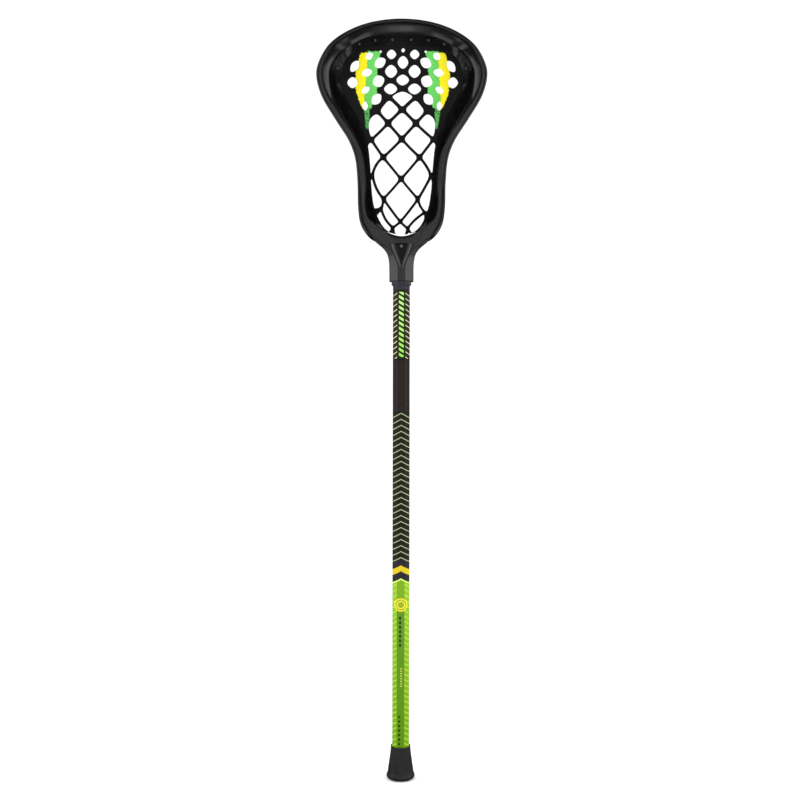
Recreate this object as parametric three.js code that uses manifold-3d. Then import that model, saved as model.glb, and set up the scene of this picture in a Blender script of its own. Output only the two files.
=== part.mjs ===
// A lacrosse stick: moulded head, woven pocket, octagonal shaft and rubber butt cap.
// Millimetres. +Z runs up the shaft, the open face of the head looks along -Y, and the
// origin is the centre of the butt cap's flat end.
import * as THREE from 'three';
import { mergeVertices } from 'three/addons/utils/BufferGeometryUtils.js';
import Module from 'manifold-3d';

const wasm = await Module();
wasm.setup();

// ---- driving dimensions ----
const FIT_GAP = 0.3; // clearance between pieces that touch
const CUT_OVER = 2; // how far a cutting tool runs out past a surface

const SHAFT_FLATS = 21; // across the flats of the octagon
const SHAFT_WALL = 1.3;
const SHAFT_BOTTOM = 3.5;
const SHAFT_TOP = 667;

const SOCKET_BOTTOM = 619.7;
const SLEEVE_WALL = 1.0;
const SLEEVE_TOP = 637.5;
const COLLAR_FLATS = 24.4;
const COLLAR_BOTTOM = 614.8;

const CAP_TOP = 40.5;
const CAP_FLOOR = SHAFT_BOTTOM - FIT_GAP;
const CAP_SIDES = 32;
// Up the cap: half width across flats, height, and 1 where it is round or 0 where it is octagonal.
const CAP_LEVELS = [
  [13, 0, 1],
  [15.9, 0.9, 1],
  [17.2, 2.2, 1],
  [17.5, 3.9, 1],
  [17, 5.9, 1],
  [16.05, 8.3, 1],
  [15.85, 9.8, 0.93],
  [15.5, 13, 0.8],
  [15, 16.5, 0.7],
  [14, 23.5, 0.46],
  [12.95, 31, 0.24],
  [12.5, 34.6, 0.1],
  [12.15, CAP_TOP - 1, 0],
  [11.9, CAP_TOP, 0],
];

const THROAT_FRONT = -14.3; // front face of the throat and the socket
const THROAT_FLAT_HALF = 4.2; // half width of the throat's front and back flats
const THROAT_SIDE_BACK = 9.1; // how far the front slopes run back
const THROAT_REAR_SLOPE = 8;
const RECESS_TOP = 666; // V-shaped recess on the throat
const RECESS_TIP = 640;
const RECESS_HALF_WIDTH = 8;
const RECESS_DEPTH_TOP = 2.2;
const RECESS_DEPTH_TIP = 0.6;

const SCREW_HEIGHT = 662;
const SCREW_SHANK_RADIUS = 1.6;
const SCREW_HEAD_RADIUS = 2.6;
const SCREW_HEAD_DEPTH = 1.7;
const SCREW_END = -4.5;
const SCREW_CROWN = 0.7; // radius of the head's flat top, as a share of the head's
const SCREW_RIM = 0.4; // height of the head's rim, as a share of the head's depth
const SCREW_POINT = 2; // length of the tapered tip
const SCREW_SIDES = 12;
const SCREW_HOLE_LENGTH = 9.3; // through the front walls of the socket and the shaft

const WEB_THICKNESS = 3.0; // side wall between its front and back rails
const RAIL_DEPTH = 6.0;
const RAIL_EDGE = 1.5; // chamfer along the rails
const WALL_BOW = 2.5; // outward bow of the side wall
const LIP_EDGE = 2.4; // the lip's slope ends this far in front of its back face
const LIP_CORNER = 0.6; // and this far outside its inner edge
const BACK_RAIL_SHOULDER = 3.5; // the back rail stands this far outside the wall
const WALL_FLARE = 1.5; // the wall's outside meets the back rail this far in front of its edge
const WALL_ROOT = 1; // and the front rail this far behind its edge
const WALL_INSET_LEAST = 0.8; // and at least this far inside the front rail's outer face

const NET_THICKNESS = 2.4;
const NET_GAP = 0.5; // behind the back rail
const NET_BULGE_DEPTH = 62; // how far back the pocket hangs
const NET_DEEPEST_Z = 755;
const NET_RISE = 22; // less deep than that this far along the spine
const NET_RISE_REACH = 90;
const NET_RINGS = 6;
const NET_EDGE_OVERLAP = 11; // how far the border lies behind the back rail, where it is wide enough
const SPINE_SCALE_X = 0.06; // the rings close on a spine: a small, short copy of the net's edge
const SPINE_SCALE_Z = 0.35;
const SPINE_CENTRE_Z = 800;

const PIN_SHANK_RADIUS = 1.1;
const PIN_HEAD_RADIUS = 2.0;
const PIN_HEAD_HEIGHT = 1.0;
const PIN_HEAD_GAP = 0.8; // behind the net, which curves away from the rear head
const PIN_INSET = 0.45; // from the back rail's inner edge, as a share of the rail's width
const PIN_INSET_MOST = 7.4;
const PIN_TIP = 0.7; // a head's outer radius, as a share of its seat's
const PIN_SIDES = 8;
const SEAT_REACH = 7; // a front head's seat is cut this far towards the inside of the head
const BLIND_SHANK = 4.2; // into the back rail, where a pin doesn't run through

const PAD_THICKNESS = 2.0;
const PAD_HALF_STATIONS = 1.4; // the pad's reach to each side of the throat's centre
const PAD_STEPS = 10;
const PAD_FRONT = 3; // behind the front rail's face
const PAD_BACK = 2; // in front of the place where the wall turns into the lip
const PAD_GAP = 0.6;
const PAD_THINNING = 0.6; // share of the thickness lost at the pad's ends

const RING_STEPS = 64; // sections round the head
const HALF_STATIONS = 15; // from the scoop's top centre to the throat's centre

// Half of the head's frame, from the top of the scoop down the right side to the throat.
// front: outer edge of the front rail; back: inner edge of the back rail, both [x, y, z].
// rail: width of the front rail's face; lip: width of the back rail's inner slope;
// drop: how far the back rail's outer edge lies in front of its inner edge.
const STATIONS = [
  { front: [0, -24, 940], back: [0, 14, 919], rail: 4.6, lip: 10.5, drop: 7 },
  { front: [36.3, -24, 936], back: [38, 15, 918], rail: 4.6, lip: 10.5, drop: 7 },
  { front: [66.5, -22, 925.8], back: [60, 20, 912], rail: 4.8, lip: 10.5, drop: 6 },
  { front: [89.5, -17, 911.2], back: [72, 27, 902], rail: 5.6, lip: 9.5, drop: 4 },
  { front: [103, -12, 891], back: [78, 33, 888], rail: 6.4, lip: 8, drop: 2 },
  { front: [106.2, -8.5, 873], back: [77.5, 37, 874], rail: 6.9, lip: 7, drop: 1 },
  { front: [99.5, -4.5, 850], back: [68, 41, 855], rail: 7.2, lip: 6, drop: 0 },
  { front: [82.5, -1.7, 822], back: [54, 43.5, 830], rail: 8, lip: 5.5, drop: 0 },
  { front: [66.5, -0.3, 797], back: [44.2, 45, 804], rail: 9, lip: 5, drop: 0 },
  { front: [58, -1.7, 773], back: [40.6, 44, 778], rail: 10, lip: 4.5, drop: 0 },
  { front: [55, -4, 742], back: [38.4, 41.5, 745], rail: 10.5, lip: 4, drop: 0 },
  { front: [53.8, -9, 708], back: [35.6, 38, 722], rail: 10.5, lip: 4, drop: 0 },
  { front: [49.4, -12, 686.5], back: [29.4, 33.5, 704], rail: 13, lip: 4, drop: 0 },
  { front: [36.3, THROAT_FRONT, 670], back: [20.5, 29, 690], rail: 17, lip: 4, drop: 0 },
  { front: [18, THROAT_FRONT, 657], back: [10, 26, 683.5], rail: 20.5, lip: 4, drop: 0 },
  { front: [0, THROAT_FRONT, 652], back: [0, 25, 681.5], rail: 22, lip: 4, drop: 0 },
];

// Where pins hold the net, as stations counted from the top of the scoop.
const SCOOP_PINS = [0.3, 0.88, 1.62, 2.5, 3.7];
const SIDE_PINS = [5.6, 6.9, 8.15, 9.6, 11.4];
const LEG_PINS = [13.45, 14.35];

// Half width, back depth and half width at the back of the throat, at heights up the throat.
const THROAT_LEVELS = [
  { z: SOCKET_BOTTOM, half: 15.1, back: 14.8, backHalf: 14.9 },
  { z: 640, half: 15.3, back: 15, backHalf: 15.1 },
  { z: 648, half: 16.4, back: 15.5, backHalf: 15.8 },
  { z: 654, half: 18.5, back: 17, backHalf: 16.8 },
  { z: 660, half: 23.5, back: 19.5, backHalf: 17.8 },
  { z: 666, half: 29.5, back: 22, backHalf: 19 },
  { z: 671, half: 32, back: 23.5, backHalf: 19 },
];

// ---- materials ----
const glossBlack = new THREE.MeshStandardMaterial({ color: 0x141414, roughness: 0.25, metalness: 0 });
const netBlack = new THREE.MeshStandardMaterial({ color: 0x1a1a1a, roughness: 0.7, metalness: 0 });
const padWhite = new THREE.MeshStandardMaterial({ color: 0xe6e6e2, roughness: 0.7, metalness: 0 });
const sleeveBlack = new THREE.MeshStandardMaterial({ color: 0x1c1b1f, roughness: 0.5, metalness: 0 });
const paintedShaft = new THREE.MeshStandardMaterial({ color: 0x3a4a20, roughness: 0.35, metalness: 0.4 });
const capRubber = new THREE.MeshStandardMaterial({ color: 0x262626, roughness: 0.85, metalness: 0 });
const screwSteel = new THREE.MeshStandardMaterial({ color: 0x5a5a5c, roughness: 0.35, metalness: 0.9 });
const pinPlastic = new THREE.MeshStandardMaterial({ color: 0x2c2c2e, roughness: 0.4, metalness: 0 });

// ---- solids and joining ----
function toSolid(geometry) {
  const bare = geometry.clone();
  bare.deleteAttribute('normal');
  bare.deleteAttribute('uv');
  const merged = mergeVertices(bare, 1e-4);
  const mesh = new wasm.Mesh({
    numProp: 3,
    vertProperties: new Float32Array(merged.attributes.position.array),
    triVerts: new Uint32Array(merged.index.array),
  });
  return new wasm.Manifold(mesh);
}

function toGeometry(solid) {
  const mesh = solid.getMesh();
  const geometry = new THREE.BufferGeometry();
  geometry.setAttribute('position', new THREE.BufferAttribute(mesh.vertProperties, 3));
  geometry.setIndex(new THREE.BufferAttribute(mesh.triVerts, 1));
  return geometry;
}

function fromTriangles(points, triangles) {
  const geometry = new THREE.BufferGeometry();
  geometry.setFromPoints(points);
  geometry.setIndex(triangles);
  return geometry;
}

// Rows of points, each row a closed outline, joined into a closed ring or a capped tube.
function loft(rows, closed) {
  const width = rows[0].length;
  const triangles = [];
  const lastRow = closed ? rows.length : rows.length - 1;
  for (let i = 0; i < lastRow; i += 1) {
    for (let j = 0; j < width; j += 1) {
      const a = i * width + j;
      const b = i * width + (j + 1) % width;
      const c = ((i + 1) % rows.length) * width + (j + 1) % width;
      const d = ((i + 1) % rows.length) * width + j;
      triangles.push(a, b, c, a, c, d);
    }
  }
  if (!closed) {
    const top = (rows.length - 1) * width;
    for (let j = 1; j < width - 1; j += 1) {
      triangles.push(0, j + 1, j);
      triangles.push(top, top + j, top + j + 1);
    }
  }
  return fromTriangles(rows.flat(), triangles);
}

function octagonPoints(flats) {
  const corner = flats / 2 / Math.cos(Math.PI / 8);
  return Array.from({ length: 8 }, (_, i) => {
    const angle = Math.PI / 8 + (i * Math.PI) / 4;
    return new THREE.Vector2(corner * Math.cos(angle), corner * Math.sin(angle));
  });
}

function octagonPrism(flats, bottom, top) {
  const shape = new THREE.Shape(octagonPoints(flats));
  const geometry = new THREE.ExtrudeGeometry(shape, { depth: top - bottom, bevelEnabled: false });
  geometry.translate(0, 0, bottom);
  return toSolid(geometry);
}

function octagonTube(flats, boreFlats, bottom, top) {
  const bore = octagonPrism(boreFlats, bottom - CUT_OVER, top + CUT_OVER);
  return octagonPrism(flats, bottom, top).subtract(bore);
}

// A turned piece whose profile is [radius, height] pairs, standing at a point along a direction.
function turned(profile, at, direction, sides) {
  const points = profile.map(([radius, height]) => new THREE.Vector2(radius, height));
  const geometry = new THREE.LatheGeometry(points, sides);
  const turn = new THREE.Quaternion().setFromUnitVectors(new THREE.Vector3(0, 1, 0), direction);
  geometry.applyQuaternion(turn);
  geometry.translate(at.x, at.y, at.z);
  return geometry;
}

function rod(radius, from, direction, length) {
  const profile = [[0, 0], [radius, 0], [radius, length], [0, length]];
  return toSolid(turned(profile, from, direction, PIN_SIDES));
}

// ---- the head's frame: one section at any place round the ring ----
const fullRing = [...STATIONS, ...STATIONS.slice(1, HALF_STATIONS).reverse().map(mirrored)];
const frontCurve = new THREE.CatmullRomCurve3(fullRing.map((s) => vector(s.front)), true);
const backCurve = new THREE.CatmullRomCurve3(fullRing.map((s) => vector(s.back)), true);

function mirrored(station) {
  const [frontX, ...frontRest] = station.front;
  const [backX, ...backRest] = station.back;
  return { ...station, front: [-frontX, ...frontRest], back: [-backX, ...backRest] };
}

function vector([x, y, z]) {
  return new THREE.Vector3(x, y, z);
}

function between(key, place) {
  const whole = Math.floor(place);
  const here = fullRing[whole % fullRing.length][key];
  const next = fullRing[(whole + 1) % fullRing.length][key];
  return THREE.MathUtils.lerp(here, next, place - whole);
}

// A frame at a station number: point(u, w) lies u inwards from the front rail's outer edge
// and w behind it, span is the distance across to the back rail's inner edge.
function sectionFrame(place) {
  const front = frontCurve.getPoint((place / fullRing.length) % 1);
  const back = backCurve.getPoint((place / fullRing.length) % 1);
  const inward = new THREE.Vector3(back.x - front.x, 0, back.z - front.z);
  const span = inward.length();
  inward.normalize();
  const depth = back.y - front.y;
  const lip = between('lip', place);
  const drop = between('drop', place);
  const backRail = lip + WEB_THICKNESS + BACK_RAIL_SHOULDER;
  const slope = drop / (backRail - 2 * RAIL_EDGE);
  const kneeU = span - lip;
  const kneeW = depth - RAIL_EDGE - lip;
  return {
    point: (u, w) => front.clone().addScaledVector(inward, u).add(new THREE.Vector3(0, w, 0)),
    rearFace: (u) => depth - slope * Math.max(0, span - RAIL_EDGE - u),
    lipFace: (u) => THREE.MathUtils.mapLinear(u, kneeU, span - LIP_CORNER, kneeW, depth - LIP_EDGE),
    rail: between('rail', place),
    inward,
    span,
    depth,
    drop,
    backRail,
    slope,
    kneeU,
    kneeW,
  };
}

function frameSection(place) {
  const { point, span, depth, rail, drop, backRail, kneeU, kneeW } = sectionFrame(place);
  const middleU = (rail + kneeU) / 2 - WALL_BOW;
  const middleW = (RAIL_EDGE + kneeW) / 2;
  const backOuterU = span - backRail;
  const backOuterW = depth - drop;
  return [
    point(0, RAIL_DEPTH),
    point(0, RAIL_EDGE),
    point(RAIL_EDGE, 0),
    point(rail - RAIL_EDGE, 0),
    point(rail, RAIL_EDGE),
    point(middleU, middleW),
    point(kneeU, kneeW),
    point(span - LIP_CORNER, depth - LIP_EDGE),
    point(span, depth - RAIL_EDGE),
    point(span - RAIL_EDGE, depth),
    point(backOuterU + RAIL_EDGE, backOuterW),
    point(backOuterU, backOuterW - RAIL_EDGE),
    point(backOuterU, backOuterW - RAIL_DEPTH),
    point(backOuterU + BACK_RAIL_SHOULDER, backOuterW - RAIL_DEPTH - WALL_FLARE),
    point(middleU - WEB_THICKNESS, middleW),
    point(Math.max(rail - WEB_THICKNESS, WALL_INSET_LEAST), RAIL_DEPTH + WALL_ROOT),
  ];
}

function ringPlaces(steps) {
  return Array.from({ length: steps }, (_, i) => (i * fullRing.length) / steps);
}

function throatBody() {
  const rows = THROAT_LEVELS.map(({ z, half, back, backHalf }) => {
    const outline = [
      [-THROAT_FLAT_HALF, THROAT_FRONT],
      [THROAT_FLAT_HALF, THROAT_FRONT],
      [half, THROAT_FRONT + THROAT_SIDE_BACK],
      [backHalf, back - THROAT_REAR_SLOPE],
      [THROAT_FLAT_HALF, back],
      [-THROAT_FLAT_HALF, back],
      [-backHalf, back - THROAT_REAR_SLOPE],
      [-half, THROAT_FRONT + THROAT_SIDE_BACK],
    ];
    return outline.map(([x, y]) => new THREE.Vector3(x, y, z));
  });
  return toSolid(loft(rows, false));
}

// Triangular recess on the front of the throat, deepest at its top.
function throatRecess() {
  const outside = THROAT_FRONT - CUT_OVER;
  const side = (y) => [
    new THREE.Vector3(0, y(RECESS_DEPTH_TIP), RECESS_TIP),
    new THREE.Vector3(RECESS_HALF_WIDTH, y(RECESS_DEPTH_TOP), RECESS_TOP),
    new THREE.Vector3(-RECESS_HALF_WIDTH, y(RECESS_DEPTH_TOP), RECESS_TOP),
  ];
  return toSolid(loft([side((depth) => THROAT_FRONT + depth), side(() => outside)], false));
}

// ---- pins that hold the net to the frame ----
// Each pin runs square to the back rail's rear face, through the net.
function pinLine({ place, through }) {
  const { point, rearFace, lipFace, inward, span, slope, backRail } = sectionFrame(place);
  const tilt = Math.atan(slope);
  const direction = inward.clone().multiplyScalar(-Math.sin(tilt));
  direction.y = Math.cos(tilt);
  const pinU = span - Math.min(backRail * PIN_INSET, PIN_INSET_MOST);
  const lipThickness = (rearFace(pinU) - lipFace(pinU)) * Math.cos(tilt);
  return {
    at: point(pinU, rearFace(pinU)),
    direction,
    shank: through ? lipThickness - FIT_GAP : BLIND_SHANK,
  };
}

function pinSolid(line, frontHead) {
  const start = line.at.clone().addScaledVector(line.direction, -line.shank);
  const reach = line.shank + NET_GAP + NET_THICKNESS + PIN_HEAD_GAP;
  const headBack = reach + PIN_HEAD_HEIGHT;
  const front = frontHead
    ? [[0, -PIN_HEAD_HEIGHT], [PIN_HEAD_RADIUS * PIN_TIP, -PIN_HEAD_HEIGHT], [PIN_HEAD_RADIUS, 0]]
    : [[0, 0]];
  const profile = [
    ...front,
    [PIN_SHANK_RADIUS, 0],
    [PIN_SHANK_RADIUS, reach],
    [PIN_HEAD_RADIUS, reach],
    [PIN_HEAD_RADIUS * PIN_TIP, headBack],
    [0, headBack],
  ];
  return turned(profile, start, line.direction, PIN_SIDES);
}

// The hole for a pin's shank, from inside the frame to behind the net.
function pinHole(line) {
  const start = line.at.clone().addScaledVector(line.direction, -line.shank - FIT_GAP);
  const length = line.shank + NET_THICKNESS + 2 * CUT_OVER;
  return rod(PIN_SHANK_RADIUS + FIT_GAP, start, line.direction, length);
}

// The seat for a front head, open to the inside of the head.
function pinSeat(line) {
  const start = line.at.clone().addScaledVector(line.direction, -line.shank + FIT_GAP - SEAT_REACH);
  return rod(PIN_HEAD_RADIUS + FIT_GAP, start, line.direction, SEAT_REACH);
}

// Both sides of the ring, as { name, place, through } records.
function pinList() {
  const kinds = [
    { name: 'scoop_pin', places: SCOOP_PINS, through: true },
    { name: 'side_pin', places: SIDE_PINS, through: false },
    { name: 'leg_pin', places: LEG_PINS, through: false },
  ];
  return kinds.flatMap(({ name, places, through }) => places.flatMap((place, i) => [
    { name: `${name}_right_${i + 1}`, place, through },
    { name: `${name}_left_${i + 1}`, place: fullRing.length - place, through },
  ]));
}

const pins = pinList();

// The clearance hole for the screw, through the front of the socket and of the shaft.
function screwHole() {
  const start = new THREE.Vector3(0, THROAT_FRONT - CUT_OVER, SCREW_HEIGHT);
  return rod(SCREW_SHANK_RADIUS + FIT_GAP, start, new THREE.Vector3(0, 1, 0), SCREW_HOLE_LENGTH);
}

function headFrame() {
  const ring = toSolid(loft(ringPlaces(RING_STEPS).map(frameSection), true));
  const boreBottom = SOCKET_BOTTOM - CUT_OVER;
  const shaftBore = octagonPrism(SHAFT_FLATS + 2 * FIT_GAP, boreBottom, SHAFT_TOP + FIT_GAP);
  const sleeveFlats = SHAFT_FLATS + 2 * SLEEVE_WALL + 4 * FIT_GAP;
  const sleeveBore = octagonPrism(sleeveFlats, boreBottom, SLEEVE_TOP + FIT_GAP);
  let frame = ring.add(throatBody()).subtract(shaftBore).subtract(sleeveBore);
  frame = frame.subtract(throatRecess()).subtract(screwHole());
  for (const pin of pins) {
    frame = frame.subtract(pinHole(pinLine(pin)));
    if (pin.through) {
      frame = frame.subtract(pinSeat(pinLine(pin)));
    }
  }
  return toGeometry(frame);
}

// ---- the pocket net: a thin sheet behind the back rail, hanging back in the middle ----
function netPoint(place, ring) {
  const { point, rearFace, span, depth, backRail } = sectionFrame(place);
  if (ring === 0) {
    const outerU = span - Math.min(NET_EDGE_OVERLAP, backRail - RAIL_EDGE);
    return point(outerU, rearFace(outerU) + NET_GAP);
  }
  const edge = point(span - RAIL_EDGE, depth + NET_GAP);
  const inner = (ring - 1) / (NET_RINGS - 1);
  const spineZ = SPINE_CENTRE_Z + (edge.z - SPINE_CENTRE_Z) * SPINE_SCALE_Z;
  const spineY = NET_BULGE_DEPTH - NET_RISE * ((spineZ - NET_DEEPEST_Z) / NET_RISE_REACH) ** 2;
  const hang = Math.sin((inner * Math.PI) / 2);
  return new THREE.Vector3(
    THREE.MathUtils.lerp(edge.x, edge.x * SPINE_SCALE_X, inner),
    THREE.MathUtils.lerp(edge.y, spineY, hang),
    THREE.MathUtils.lerp(edge.z, spineZ, inner),
  );
}

// One face of the net: bands between its rings, then the spine closed across.
function netFace() {
  const n = RING_STEPS;
  const triangles = [];
  const quad = (a, b, c, d) => triangles.push(a, c, b, a, d, c);
  for (let ring = 0; ring < NET_RINGS; ring += 1) {
    for (let i = 0; i < n; i += 1) {
      const next = (i + 1) % n;
      quad(ring * n + i, ring * n + next, (ring + 1) * n + next, (ring + 1) * n + i);
    }
  }
  const spine = NET_RINGS * n;
  triangles.push(spine, spine + n - 1, spine + 1);
  for (let i = 1; i < n / 2 - 1; i += 1) {
    quad(spine + i, spine + i + 1, spine + n - i - 1, spine + n - i);
  }
  const last = spine + n / 2 - 1;
  triangles.push(last, last + 2, last + 1);
  return triangles;
}

// The strip that joins the net's two faces round its outer edge.
function netRim(offset) {
  return Array.from({ length: RING_STEPS }, (_, i) => {
    const next = (i + 1) % RING_STEPS;
    return [i, offset + next, offset + i, i, next, offset + next];
  }).flat();
}

function pocketNet() {
  const places = ringPlaces(RING_STEPS);
  const rings = Array.from({ length: NET_RINGS + 1 }, (_, i) => i);
  const sheet = rings.flatMap((ring) => places.map((place) => netPoint(place, ring)));
  const behind = sheet.map((p) => p.clone().add(new THREE.Vector3(0, NET_THICKNESS, 0)));
  const face = netFace();
  const rearFace = face.map((i) => i + sheet.length).reverse();
  const triangles = [...face, ...rearFace, ...netRim(sheet.length)];
  let net = toSolid(fromTriangles([...sheet, ...behind], triangles));
  for (const pin of pins) {
    net = net.subtract(pinHole(pinLine(pin)));
  }
  return toGeometry(net);
}

// ---- the remaining pieces ----
// A curved strip that lines the inside of the throat, thinning towards its ends.
function ballStopPad() {
  const middle = HALF_STATIONS;
  const rows = Array.from({ length: PAD_STEPS + 1 }, (_, i) => {
    const offset = ((i / PAD_STEPS) * 2 - 1) * PAD_HALF_STATIONS;
    const { point, kneeU, kneeW, rail } = sectionFrame(middle + offset);
    const thin = 1 - PAD_THINNING * (offset / PAD_HALF_STATIONS) ** 2;
    const frontU = rail + PAD_GAP;
    const backU = kneeU + PAD_GAP;
    const backW = kneeW - PAD_BACK;
    return [
      point(frontU, PAD_FRONT),
      point(frontU + PAD_THICKNESS * thin, PAD_FRONT),
      point(backU + PAD_THICKNESS * thin, backW),
      point(backU, backW),
    ];
  });
  return toGeometry(toSolid(loft(rows, false)));
}

function shaftTube() {
  const tube = octagonTube(SHAFT_FLATS, SHAFT_FLATS - 2 * SHAFT_WALL, SHAFT_BOTTOM, SHAFT_TOP);
  return toGeometry(tube.subtract(screwHole()));
}

function socketSleeve() {
  const bore = SHAFT_FLATS + 2 * FIT_GAP;
  const sleeve = octagonTube(bore + 2 * SLEEVE_WALL, bore, COLLAR_BOTTOM, SLEEVE_TOP);
  const collar = octagonTube(COLLAR_FLATS, bore, COLLAR_BOTTOM, SOCKET_BOTTOM - FIT_GAP);
  return toGeometry(sleeve.add(collar));
}

// The radius of an octagon with rounded-off corners, in a direction from its centre.
function capRadius(angle, half, roundness) {
  const fromFlat = ((angle + Math.PI / 8) % (Math.PI / 4)) - Math.PI / 8;
  return half * (roundness + (1 - roundness) / Math.cos(fromFlat));
}

function buttCap() {
  const rows = CAP_LEVELS.map(([half, z, roundness]) => Array.from({ length: CAP_SIDES }, (_, i) => {
    const angle = (i * 2 * Math.PI) / CAP_SIDES;
    const radius = capRadius(angle, half, roundness);
    return new THREE.Vector3(radius * Math.cos(angle), radius * Math.sin(angle), z);
  }));
  const cavity = octagonPrism(SHAFT_FLATS + 2 * FIT_GAP, CAP_FLOOR, CAP_TOP + CUT_OVER);
  return toGeometry(toSolid(loft(rows, false)).subtract(cavity));
}

function headScrew() {
  const floorDepth = THREE.MathUtils.mapLinear(
    SCREW_HEIGHT, RECESS_TIP, RECESS_TOP, RECESS_DEPTH_TIP, RECESS_DEPTH_TOP,
  );
  const seat = THROAT_FRONT + floorDepth - FIT_GAP;
  const length = SCREW_END - seat;
  const profile = [
    [0, -SCREW_HEAD_DEPTH],
    [SCREW_HEAD_RADIUS * SCREW_CROWN, -SCREW_HEAD_DEPTH],
    [SCREW_HEAD_RADIUS, -SCREW_HEAD_DEPTH * SCREW_RIM],
    [SCREW_HEAD_RADIUS, 0],
    [SCREW_SHANK_RADIUS, 0],
    [SCREW_SHANK_RADIUS, length - SCREW_POINT],
    [0, length],
  ];
  const at = new THREE.Vector3(0, seat, SCREW_HEIGHT);
  return turned(profile, at, new THREE.Vector3(0, 1, 0), SCREW_SIDES);
}

// ---- the assembly ----
const stick = new THREE.Group();

function addPiece(name, geometry, material) {
  const mesh = new THREE.Mesh(geometry, material);
  mesh.name = name;
  stick.add(mesh);
}

addPiece('head_frame', headFrame(), glossBlack);
addPiece('pocket_net', pocketNet(), netBlack);
addPiece('ball_stop_pad', ballStopPad(), padWhite);
addPiece('socket_sleeve', socketSleeve(), sleeveBlack);
addPiece('shaft', shaftTube(), paintedShaft);
addPiece('butt_cap', buttCap(), capRubber);
addPiece('head_screw', headScrew(), screwSteel);
for (const pin of pins) {
  addPiece(pin.name, pinSolid(pinLine(pin), pin.through), pinPlastic);
}

export default stick;
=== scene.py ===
"""The looks of a lacrosse stick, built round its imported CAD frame.

Blender 4.5. Everything is in metres in the frame's own axes: +Z up the shaft, the head's
open face towards -Y. Design sizes below are in millimetres and scaled once by MM.
"""

import math

import bmesh
import bpy
import numpy as np
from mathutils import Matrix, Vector
from mathutils.bvhtree import BVHTree


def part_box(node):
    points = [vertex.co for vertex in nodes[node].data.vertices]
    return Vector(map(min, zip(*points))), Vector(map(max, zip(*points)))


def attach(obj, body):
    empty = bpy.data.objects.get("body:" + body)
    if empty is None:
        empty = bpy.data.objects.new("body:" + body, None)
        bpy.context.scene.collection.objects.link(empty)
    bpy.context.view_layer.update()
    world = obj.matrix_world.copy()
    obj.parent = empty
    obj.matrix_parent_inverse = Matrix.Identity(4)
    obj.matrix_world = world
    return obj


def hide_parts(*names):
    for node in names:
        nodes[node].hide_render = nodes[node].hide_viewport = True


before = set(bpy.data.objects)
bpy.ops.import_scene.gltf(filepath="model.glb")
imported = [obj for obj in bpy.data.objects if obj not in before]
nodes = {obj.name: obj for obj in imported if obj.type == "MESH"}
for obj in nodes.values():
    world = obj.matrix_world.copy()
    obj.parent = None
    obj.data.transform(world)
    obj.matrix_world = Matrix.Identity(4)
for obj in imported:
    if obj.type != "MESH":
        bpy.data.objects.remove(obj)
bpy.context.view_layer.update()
scene = bpy.context.scene

MM = 0.001

# ---- the head's design sizes, mm ----
THROAT_FRONT = -14.3
WEB = 3.0  # side wall thickness
RAIL_DEPTH = 6.0
RAIL_CROWN = 0.45
EDGE = 1.5
LIP_EDGE = 2.4
WALL_BOW = 2.5
SHOULDER = 3.5
GROOVE = 1.1  # width of the groove inside the rail

# Half of the head from the scoop's top down the right side to the throat: outer edge of the
# front rail, inner edge of the back rail, rail width, lip width, rear drop, outer bevel and
# the width of the slanted band inside the rail.
STATIONS = [
    ((0, -24, 940), (0, 14, 919), 4.6, 10.5, 7, 1.2, 11.5),
    ((36.3, -24, 936), (38, 15, 918), 4.6, 10.5, 7, 1.2, 11.0),
    ((66.5, -22, 925.8), (60, 20, 912), 4.8, 10.5, 6, 1.2, 11.0),
    ((89.5, -17, 911.2), (72, 27, 902), 5.6, 9.5, 4, 1.4, 10.0),
    ((103, -12, 891), (78, 33, 888), 6.4, 8, 2, 1.5, 9.0),
    ((106.2, -8.5, 873), (77.5, 37, 874), 6.9, 7, 1, 1.5, 9.0),
    ((99.5, -4.5, 850), (68, 41, 855), 7.2, 6, 0, 1.5, 6.5),
    ((82.5, -1.7, 822), (54, 43.5, 830), 8, 5.5, 0, 1.5, 3.0),
    ((66.5, -0.3, 797), (44.2, 45, 804), 9, 5, 0, 1.5, 1.6),
    ((58, -1.7, 773), (40.6, 44, 778), 10, 4.5, 0, 1.5, 1.4),
    ((55, -4, 742), (38.4, 41.5, 745), 10.5, 4, 0, 1.5, 1.4),
    ((53.8, -9, 708), (35.6, 38, 722), 10.5, 4, 0, 1.6, 1.4),
    ((49.4, -12, 686.5), (29.4, 33.5, 704), 13, 4, 0, 2.2, 1.4),
    ((36.3, THROAT_FRONT, 670), (20.5, 29, 690), 17, 4, 0, 2.6, 1.4),
    ((18, THROAT_FRONT, 665), (10, 26, 683.5), 12, 4, 0, 1.2, 1.4),
    ((0, THROAT_FRONT, 662), (0, 25, 681.5), 11.2, 4, 0, 1.2, 1.4),
]

# Height, half width, back depth and half width at the back of the throat, half width of the
# flat down its front, and how far back the sloping sides of its front reach.
THROAT_LEVELS = [
    (619.7, 15.1, 14.8, 14.9, 4.2, 9.1),
    (630, 15.1, 14.8, 14.9, 4.2, 9.1),
    (640, 15.3, 15, 15.1, 4.3, 9.1),
    (648, 16.4, 15.5, 15.8, 6.5, 7.9),
    (654, 18.5, 17, 16.8, 10.5, 5.8),
    (660, 23.5, 19.5, 17.8, 17.0, 4.2),
    (666, 30.9, 22, 19, 25.5, 3.2),
    (671, 36.2, 23.5, 19, 31.5, 2.6),
]
THROAT_BACK_FLAT = 4.2
HEEL_HALF = 19.5
THROAT_PLACE = len(STATIONS) - 1  # the throat's place round the ring

# The V on the throat: its foot and top, and how fast it widens upwards.
V_FOOT, V_TOP = 638.2, 665.4
V_SPREAD = 0.315
V_BACK = -9.0  # its floor lies in front of this

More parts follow.
